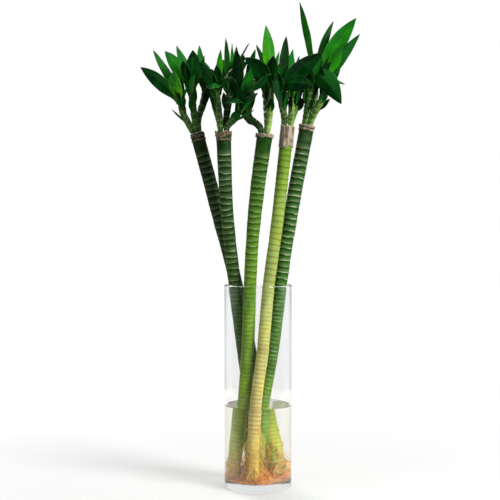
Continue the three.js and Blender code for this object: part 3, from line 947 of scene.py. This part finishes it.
# Each band: its lower and upper depth below the cut, how far it stands off, and its tear. Then the
# sheath's age, from grey at 0 to tan at 1.
HUSKS = {
    "a": ([(5.5, 2.8, 0.25, 1.8), (11.5, 9.2, 0.2, 1.6)], 0.95),
    "b": ([(7.0, -1.0, 0.5, 5.0), (12.5, 10.5, 0.2, 2.0)], 0.9),
    "c": ([(3.4, -1.2, 0.6, 4.4)], 0.5),
    "d": ([(31.0, -1.0, 0.5, 4.5)], 0.0),
    "e": ([(2.6, -1.2, 0.6, 0.8), (7.2, 4.2, 0.25, 0.6)], 0.45),
}
for name, (bands, age) in HUSKS.items():
    path, length = cane_path(f"husk_line_{name}", CANES[name])
    parts = [sleeve(*band, length, seed) for seed, band in enumerate(bands)]
    piece = joined(f"husk_{name}", parts)
    carry_straight_place(piece)
    carry(piece, "age", [age] * len(piece.data.vertices))
    crumpled(piece, 0.0012, 0.006)
    modified(piece, "SOLIDIFY", thickness=0.0004, offset=1)
    bent(piece, path, "POS_Z")
    placed(piece, [f"cane_{name}"], dry_paper)

# %% [markdown]
# ## Leaves
#
# A leaf is lance-shaped: a narrow base that clasps the stem, the widest part at its middle, and a
# long fine tip. It is folded along its midrib like a shallow V, tight at the base and flat towards
# the tip. One flat blade is shaped row by row, and every leaf is a copy of it: scaled to its length
# and width, stood on its edge and bent along its own curve, which is rolled by the leaf's turn.
#
# The blade carries its own flat coordinates, so that veins run along every leaf, however it bends.

# %% One blade
# The outline and the fold, as shares of the length with a share of the width and a slope
BLADE_ROWS, BLADE_COLUMNS = 24, 8
OUTLINE = [
    (0.0, 0.36), (0.06, 0.39), (0.12, 0.45), (0.2, 0.62), (0.28, 0.8), (0.36, 0.93), (0.46, 1.0),
    (0.55, 0.98), (0.64, 0.91), (0.72, 0.8), (0.8, 0.63), (0.87, 0.45), (0.93, 0.27), (0.97, 0.13),
    (1.0, 0.012),
]
FOLD = [(0.0, 0.95), (0.1, 0.8), (0.2, 0.6), (0.35, 0.44), (0.6, 0.34), (1.0, 0.2)]


def read_off(table, t):
    """A value read off a table of (place, value) points."""
    for (low, first), (high, second) in zip(table, table[1:]):
        if t <= high:
            return first + (second - first) * (t - low) / (high - low)
    return table[-1][1]


bpy.ops.mesh.primitive_grid_add(
    x_subdivisions=BLADE_ROWS, y_subdivisions=BLADE_COLUMNS, size=1, location=(0.5, 0, 0)
)
blade = bpy.context.object
blade.name = "blade"
bpy.ops.object.transform_apply(location=True)
carry(blade, "blade", [(2 * p.co.y, p.co.x, 0) for p in blade.data.vertices], "FLOAT_VECTOR")
bpy.ops.object.mode_set(mode="EDIT")
for row in range(BLADE_ROWS + 1):
    t = row / BLADE_ROWS
    width, fold = read_off(OUTLINE, t), read_off(FOLD, t)
    pick(lambda place: abs(place.x - t) < 1e-4)
    spread = width / math.sqrt(1 + fold * fold)
    bpy.ops.transform.resize(value=(1, spread, 1))
    for column in range(1, BLADE_COLUMNS // 2 + 1):
        across = spread * column / BLADE_COLUMNS
        pick(lambda place: abs(place.x - t) < 1e-4 and abs(abs(place.y) - across) < 1e-4)
        bpy.ops.transform.translate(value=(0, 0, fold * across))
bpy.ops.object.mode_set(mode="OBJECT")
print("blade:", len(blade.data.polygons), "faces")

# %% Growing a leaf from the blade
def leaf(base, axis, row):
    """A leaf from its base to its tip. It sets off along the axis, and is bent and rolled."""
    tip = in_metres(row[:3])
    width, arch, turn, tint = row[3:]
    chord = tip - base
    across = chord.cross(axis).normalized()
    inward = across.cross(axis)
    local = Matrix((axis, inward, across)).transposed().to_4x4()
    local.translation = base
    lean = Vector((arch * chord.length, 0, 0))
    end = Vector((chord.dot(axis), chord.dot(inward), 0))
    start = Vector((0, 0, 0))
    leaving, arriving = lean * 2 / 3, end + (lean - end) * 2 / 3
    roll = math.radians(turn)
    path = path_through(
        "leaf_line", [start, end], [start - leaving, arriving], [leaving, end * 2 - arriving],
        tilts=[roll * 0.4, roll], twist="Z_UP",
    )
    length = path.data.splines[0].calc_length()
    on_edge = Matrix.Rotation(math.radians(90), 4, "X")
    piece = copied(blade, "leaf", on_edge @ Matrix.Diagonal((length, width * MM, width * MM, 1)))
    carry(piece, "tint", [tint] * len(piece.data.vertices))
    bent(piece, path, "POS_X")
    piece.data.transform(local)
    return piece


trial = leaf(Vector((0, 0, 0)), UP, (40, 0, 90, 20, 0.4, 0, 0))
reached = [max(point.co[i] for point in trial.data.vertices) for i in range(3)]
print("a trial leaf reaches", [round(far, 3) for far in reached])
bpy.data.objects.remove(trial)

# %% [markdown]
# The leaves' colour runs from the blue-black green of old leaves to the lime of a new one, by the
# tint that each carries. A blade is brighter at its base than at its tip, and one half is painted a
# little darker, a painted shade on one side of its fold, so that the fold reads. Fine parallel
# veins, a paler midrib and a pale sheath come from the blade's own coordinates. The wax is thin and
# gives a soft, low gloss.

# %% The leaf material
leaf_wax, tree, shader = new_finish(
    "waxy_leaf",
    {"Roughness": 0.4, "Coat Weight": 0.015, "Coat Roughness": 0.25, "Specular IOR Level": 0.05},
)
flat = add_node(tree, "Attribute", attribute_name="blade").outputs["Vector"]
across, from_base, _ = add_node(tree, "SeparateXYZ", (flat,)).outputs
from_midrib = add_node(tree, "Math", (across,), operation="ABSOLUTE").outputs[0]
veins, = grown_patterns(tree, flat, [((26, 1.2, 1), 2)])  # 0.4 mm apart on a leaf 20 mm wide
here = add_node(tree, "TexCoord").outputs["Object"]
cloud = add_node(tree, "TexNoise", {"Vector": here, "Scale": 60, "Detail": 2}).outputs[0]

# Old growth is uneven over 17 mm, tips are darker, and one half of each blade is darker, as painted
# shade on one side of its fold
tint = add_node(tree, "Attribute", attribute_name="tint").outputs["Fac"]
changes = [
    (cloud, 0.3, 0.7, -0.13, 0.13),
    (from_base, 0.3, 1.0, 0.05, -0.22),
    # Painted shade: the blade's half on one side of its midrib is darkened
    (across, -0.06, 0.06, 0.05, -0.07),
]
for change in changes:
    step = add_node(tree, "MapRange", change).outputs[0]
    tint = add_node(tree, "Math", (tint, step), operation="ADD").outputs[0]

greens = [
    (0.0, "#062C12"), (0.25, "#0D531A"), (0.5, "#145E14"),
    (0.7, "#1E7612"), (0.88, "#3A9010"), (1.0, "#5CAE20"),
]
green = add_node(tree, "ValToRGB", (tint,), stops=greens).outputs[0]
green = painted(tree, green, [
    ("#D5EAB0", "SOFT_LIGHT", (veins, 0.35, 0.7, 0.0, 0.5)),
    ("#8FB060", "MIX", (from_midrib, 0.0, 0.07, 0.1, 0.0)),
    ("#9DB26A", "MIX", (from_midrib, 0.92, 1.0, 0.0, 0.07)),
    ("#6E9A3E", "MIX", (from_base, 0.02, 0.22, 0.6, 0.0)),
    ("#4A5A40", "MIX", (from_base, 0.95, 1.0, 0.0, 0.4)),
])
dressed(tree, shader, green, veins, 0.0002, 0.5)
print("leaf material nodes:", len(tree.nodes))

# %% [markdown]
# ## Crowns
#
# At the end of each shoot the leaves clasp each other round a young leaf that is still rolled up.
# The rolled leaf is a thin cone that is turned up from a circle. The CAD model has the leaves that
# set a crown's outline. Smaller ones fill the crown and clasp the shoot below it, as on the real
# plant. Seeded random numbers give each of those its side, its size, its turn and its tint.

# %% The crowns
spear_rings = [(3.6, -3), (3.7, 3), (3.4, 8), (2.8, 14), (2.0, 21), (1.2, 28), (0.5, 34), (0.1, 36)]
spear = turned_up("spear", 12, spear_rings, close_foot=True, close_top=True)
top, young = spear_rings[-1][1] * MM, 0.75
heights = [point.co.z for point in spear.data.vertices]
carry(spear, "blade", [(0.5, 0.1 + 0.8 * z / top, 0) for z in heights], "FLOAT_VECTOR")
carry(spear, "tint", [young] * len(heights))

# Small leaves: their lengths, their widths, and how far they spread from the shoot. Then where
# along the shoot they stand, and how many stand in the crown's heart.
ON_SHOOT, IN_HEART = ((22, 36), (11, 15), 0.28), ((38, 54), (15, 20), 0.4)
SHOOT_SHARES, HEART_COUNT = (0.45, 0.68, 0.86), 3
# Where the lowest leaf stands on the crown's axis, each next one above it, and how far off it
LOWEST_LEAF, LEAF_STEP, OFF_AXIS = 2, 1.7, 1.3


def small_leaf(place, heading, chance, lengths, widths, spread):
    """A small leaf that leaves a shoot on a random side."""
    length, width = chance.uniform(*lengths), chance.uniform(*widths)
    outward = square_to(heading, level(chance.uniform(0, math.tau)))
    tip = place + (heading * (1 - spread) + outward * spread).normalized() * length * MM
    arch, turn, tint = 0.45, chance.uniform(-60, 60), chance.uniform(0.0, 0.45)
    return leaf(place + outward * 3 * MM, heading, (*(tip / MM), width, arch, turn, tint))


for name, cane in CANES.items():
    for number, (seat, crown, leaves) in enumerate(cane["shoots"], 1):
        chance = random.Random(f"tuft {name}{number}")
        handles = shoot_handles(cane, seat, crown)
        top, axis = along(handles, 1)
        foot = top + axis * GAP * MM
        upright = UP.rotation_difference(axis).to_matrix().to_4x4()
        parts = [copied(spear, "rolled_leaf", Matrix.Translation(foot) @ upright)]
        for i, row in enumerate(leaves):
            base = foot + axis * (LOWEST_LEAF + LEAF_STEP * i) * MM
            base += square_to(axis, in_metres(row[:3]) - base) * OFF_AXIS * MM
            parts.append(leaf(base, axis, row))
        for t in SHOOT_SHARES:
            parts.append(small_leaf(*along(handles, t), chance, *ON_SHOOT))
        for _ in range(HEART_COUNT):
            parts.append(small_leaf(foot, axis, chance, *IN_HEART))
        piece = joined(f"crown_{name}{number}", parts)
        modified(piece, "SUBSURF", levels=1, render_levels=1)
        crumpled(piece, 0.0022, 0.03)
        modified(piece, "SOLIDIFY", thickness=0.0006, offset=0)
        placed(piece, [f"leaves_{name}{number}"], leaf_wax)

# %% [markdown]
# ## Shoots
#
# A side shoot is wrapped in the bases of its lower leaves: short overlapping sheaths, each flared a
# little at its top, which leave fine rings as they dry. One straight shoot is turned up, copied for
# each, stretched to its length and bent along its curve. Its skin is waxy like a leaf's and striped
# by the sheaths' veins, and it runs from lime to dark green by the tint that each shoot carries.

# %% The sheathed stem's finish
green_stem, tree, shader = new_finish(
    "sheathed_shoot",
    {"Roughness": 0.42, "Coat Weight": 0.05, "Coat Roughness": 0.3, "Specular IOR Level": 0.18},
)
straight = add_node(tree, "Attribute", attribute_name="straight").outputs["Vector"]
shade = add_node(tree, "Attribute", attribute_name="tint").outputs["Fac"]
scars = add_node(tree, "Attribute", attribute_name="scar").outputs["Fac"]
# Stripes 2.4 mm wide and 50 mm long. The real veins are finer, but wouldn't show.
stripes, = grown_patterns(tree, straight, [((420, 420, 20), 3)])
greens = [(0.0, "#12290F"), (0.35, "#2E5A26"), (0.7, "#5F9044"), (1.0, "#98BC5A")]
stem = add_node(tree, "ValToRGB", (shade,), stops=greens).outputs[0]
stem = painted(tree, stem, [
    ("#56703A", "MULTIPLY", (stripes, 0.44, 0.6, 0.0, 0.85)),
    ("#C8DCA0", "SOFT_LIGHT", (stripes, 0.44, 0.34, 0.0, 0.5)),
    ("#A4AE7C", "MIX", (scars, 0.0, 1.0, 0.0, 0.3)),
])
dressed(tree, shader, stem, stripes, 0.00025, 0.8)
print("stem nodes:", len(tree.nodes))

# %% The shoots
# In millimetres, a shoot's length and its radius at these shares of it. Each of its sheaths swells
# by these factors at these shares of its own height.
SHOOT_LENGTH, SHEATHS = 60, 6
SHOOT_RADII = [(0.0, 3.9), (0.25, 4.9), (0.5, 5.1), (0.75, 4.9), (1.0, 4.3)]
FLARE = 0.95
SWELLS = [(0.0, 0.97), (0.3, 0.98), (0.7, 1.02), (FLARE, 1.06)]
shoot_rings = []
for step in range(SHEATHS):
    for part, swell in SWELLS:
        t = (step + part) / SHEATHS
        shoot_rings.append((read_off(SHOOT_RADII, t) * swell, t * SHOOT_LENGTH))
shoot_rings.append((4.2, SHOOT_LENGTH))
shoot_model = turned_up("shoot_model", 20, shoot_rings, close_foot=True, close_top=True)
flares = [(step + FLARE) / SHEATHS * SHOOT_LENGTH * MM for step in range(SHEATHS)]
heights = [point.co.z for point in shoot_model.data.vertices]
scars = [float(min(abs(z - flare) for flare in flares) < 1e-5) for z in heights]
carry(shoot_model, "scar", scars)

SHOOT_TINTS = {
    "a": [0.8, 0.55, 0.5], "b": [0.55, 0.4, 0.3, 0.4], "c": [0.4, 1.0, 0.5],
    "d": [0.75, 0.95, 0.8], "e": [0.7, 0.5, 0.85, 0.45],
}
for name, cane in CANES.items():
    for number, (seat, crown, _) in enumerate(cane["shoots"], 1):
        foot, out, below, top = shoot_handles(cane, seat, crown)
        lefts, rights = [foot * 2 - out, below], [out, top * 2 - below]
        path = path_through("shoot_line", [foot, top], lefts, rights)
        length = path.data.splines[0].calc_length() / MM
        piece = copied(shoot_model, f"sprout_{name}{number}")
        carry_straight_place(piece)
        carry(piece, "tint", [SHOOT_TINTS[name][number - 1]] * len(piece.data.vertices))
        piece.data.transform(Matrix.Diagonal((1, 1, length / SHOOT_LENGTH, 1)))
        crumpled(piece, 0.0012, 0.008)
        bent(piece, path, "POS_Z")
        placed(piece, [f"shoot_{name}{number}"], green_stem)

for model in (spear, blade, shoot_model):
    bpy.data.objects.remove(model)

# %% [markdown]
# ## Roots
#
# Each foot has four stout roots, as in the CAD model, and a clump of golden ones. They leave the
# cane up to 22 mm above its foot, sink beside it, and run out over the floor to the wall. A root is
# a curve with a round section that thins to its end. The thinner ones follow a seeded random walk
# that sinks, and turns back at the glass.
#
# A root in water has a smooth wet skin with a soft gloss. It is amber to cream in patches, more
# orange near the floor and paler high up.

# %% The roots' finish
wet_root, tree, shader = new_finish("wet_root", {"Roughness": 0.4, "Specular IOR Level": 0.3})
here = add_node(tree, "TexCoord").outputs["Object"]
height = add_node(tree, "SeparateXYZ", (here,)).outputs[2]
mottle, grain = [
    add_node(tree, "TexNoise", {"Vector": here, "Scale": scale, "Detail": 2}).outputs[0]
    for scale in (240, 900)  # patches of 4 mm and bumps of 1 mm
]
ambers = [
    (0.28, "#6E3A0C"), (0.42, "#B07016"), (0.54, "#D49E2A"), (0.66, "#E4C468"), (0.8, "#F6EAB8"),
]
amber = add_node(tree, "ValToRGB", (mottle,), stops=ambers).outputs[0]
amber = painted(tree, amber, [
    ("#CC6E1C", "MIX", (height, 0.013, 0.045, 0.6, 0.0)),
    ("#E6D47C", "MIX", (height, 0.05, 0.09, 0.0, 0.5)),
])
dressed(tree, shader, amber, grain, 0.0002, 0.5)
print("root nodes:", len(tree.nodes))

# %% Threads for roots
# In millimetres, how far roots reach from the vase's axis, and how low. Then how much a root strays
# at each step of its walk, and how much it sinks.
ROOT_ROOM, ROOT_BED = 45.8, 13.4
STRAY, SINK = 0.3, Vector((0, 0, -0.3))


def new_threads(name):
    """Curve data for a bundle of round threads. A radius of 1 is one millimetre."""
    data = bpy.data.curves.new(name, "CURVE")
    data.dimensions = "3D"
    data.bevel_depth = MM
    data.bevel_resolution = 0
    return data


def root_strand(data, points, thickness):
    """One root: a thread through points in millimetres that thins to its end."""
    spline = data.splines.new("NURBS")
    spline.points.add(len(points) - 1)
    for i, (point, place) in enumerate(zip(spline.points, points)):
        point.co = (*(place * MM), 1)
        point.radius = thickness * (1 - 0.75 * i / (len(points) - 1))
    spline.order_u = 4
    spline.use_endpoint_u = True
    spline.resolution_u = 2


def placed_threads(data, stands_for):
    """Makes the threads a mesh and finishes it as a piece."""
    threads = bpy.data.objects.new(data.name, data)
    scene.collection.objects.link(threads)
    alone(threads)
    bpy.ops.object.convert(target="MESH")
    placed(bpy.context.object, stands_for, wet_root)


def foot_of(cane):
    """The cane's foot in millimetres, and the direction in which the cane leaves it."""
    points, _, rights, _ = cane_line(cane)
    return points[0] / MM, (rights[0] - points[0]).normalized()


def past_the_room(place):
    """How far a place lies past the roots' room, and which way is outwards there."""
    flat = Vector((place.x, place.y, 0))
    return max(0.0, flat.length - ROOT_ROOM), flat.normalized()


def wander(start, heading, steps, stride, chance):
    """A random walk that sinks through the water and turns back at the glass."""
    points, place, heading = [start], start.copy(), heading.normalized()
    for _ in range(steps):
        drift = Vector((chance.gauss(0, 1), chance.gauss(0, 1), chance.gauss(0, 0.5)))
        heading = (heading + drift * STRAY + SINK).normalized()
        place = place + heading * stride
        excess, outward = past_the_room(place)
        if excess:
            place -= outward * excess
            heading = (heading - outward * 0.6).normalized()
        if place.z < ROOT_BED:
            place.z = ROOT_BED + chance.random() * 1.5
            heading.z = 0.15
        points.append(place.copy())
    return points


print("room for roots:", ROOT_ROOM, "mm round the axis")

# %% The root clumps
# Each kind: how many, how far up the cane they start, how thick, and in how many steps they go
ROOT_KINDS = [(24, 22, 1.05, 6), (44, 10, 0.5, 8)]
STOUT_ROOT = 1.6
for name, cane in CANES.items():
    chance = random.Random(f"roots {name}")
    foot, upward = foot_of(cane)
    radius = cane["line"][0][3]
    data = new_threads(f"root_mass_{name}")
    middle = foot - upward * 2
    for end in cane["roots"]:
        far = Vector(end)
        bend = middle.lerp(far, 0.6)
        bend.z = middle.z - 1
        root_strand(data, [middle, middle.lerp(bend, 0.6), bend.lerp(far, 0.4), far], STOUT_ROOT)
    for count, rise, thick, steps in ROOT_KINDS:
        for _ in range(count):
            outward = level(chance.uniform(0, math.tau))
            height = rise * chance.random() ** 1.6
            start = foot + upward * height + outward * (radius - 0.8)
            heading = outward + Vector((0, 0, chance.uniform(-0.9, 0.2)))
            walk = wander(start, heading, steps, chance.uniform(3, 6.5), chance)
            root_strand(data, walk, thick * chance.uniform(0.6, 1.15))
    placed_threads(data, [f"roots_{name}"])

# %% [markdown]
# ## Root beards
#
# Above the callus, thin golden roots break out of the scars and hang down close to the cane like a
# beard. Canes a and d have the longest ones. They are in the water, beyond the stout roots of the
# CAD model, so they are pieces of their own that stand for no node.

# %% The beards
# For each cane: how many strands, and how far up the cane the highest one starts, in millimetres
BEARDS = {"a": (90, 74), "b": (30, 40), "c": (100, 34), "d": (100, 78), "e": (60, 54)}
LOWEST, BEARD_STRIDE = 6, 6
FIRST_SPAN = 112  # from a cane's foot to the next point of its line
for name, (strands, reach) in BEARDS.items():
    chance = random.Random(f"beard {name}")
    foot, upward = foot_of(CANES[name])
    low_radius, high_radius = (point[3] for point in CANES[name]["line"][:2])
    data = new_threads(f"root_beard_{name}")
    for _ in range(strands):
        outward = level(chance.uniform(0, math.tau))
        height = LOWEST + (reach - LOWEST) * chance.random() ** 1.3
        radius = low_radius + (high_radius - low_radius) * height / FIRST_SPAN
        start = foot + upward * height + outward * (radius - 0.6)
        walk, place = [start], start.copy()
        drift = outward * chance.uniform(0.1, 0.45)
        for _ in range(max(3, round(height * chance.uniform(0.5, 1.0) / BEARD_STRIDE))):
            sway = Vector((chance.gauss(0, 0.35), chance.gauss(0, 0.35), 0))
            place = place + (drift + sway + Vector((0, 0, -1))).normalized() * BEARD_STRIDE
            place.z = max(place.z, ROOT_BED + 0.1)
            excess, outwards = past_the_room(place)
            place -= outwards * excess
            walk.append(place.copy())
        root_strand(data, walk, chance.uniform(0.28, 0.5))
    placed_threads(data, [])
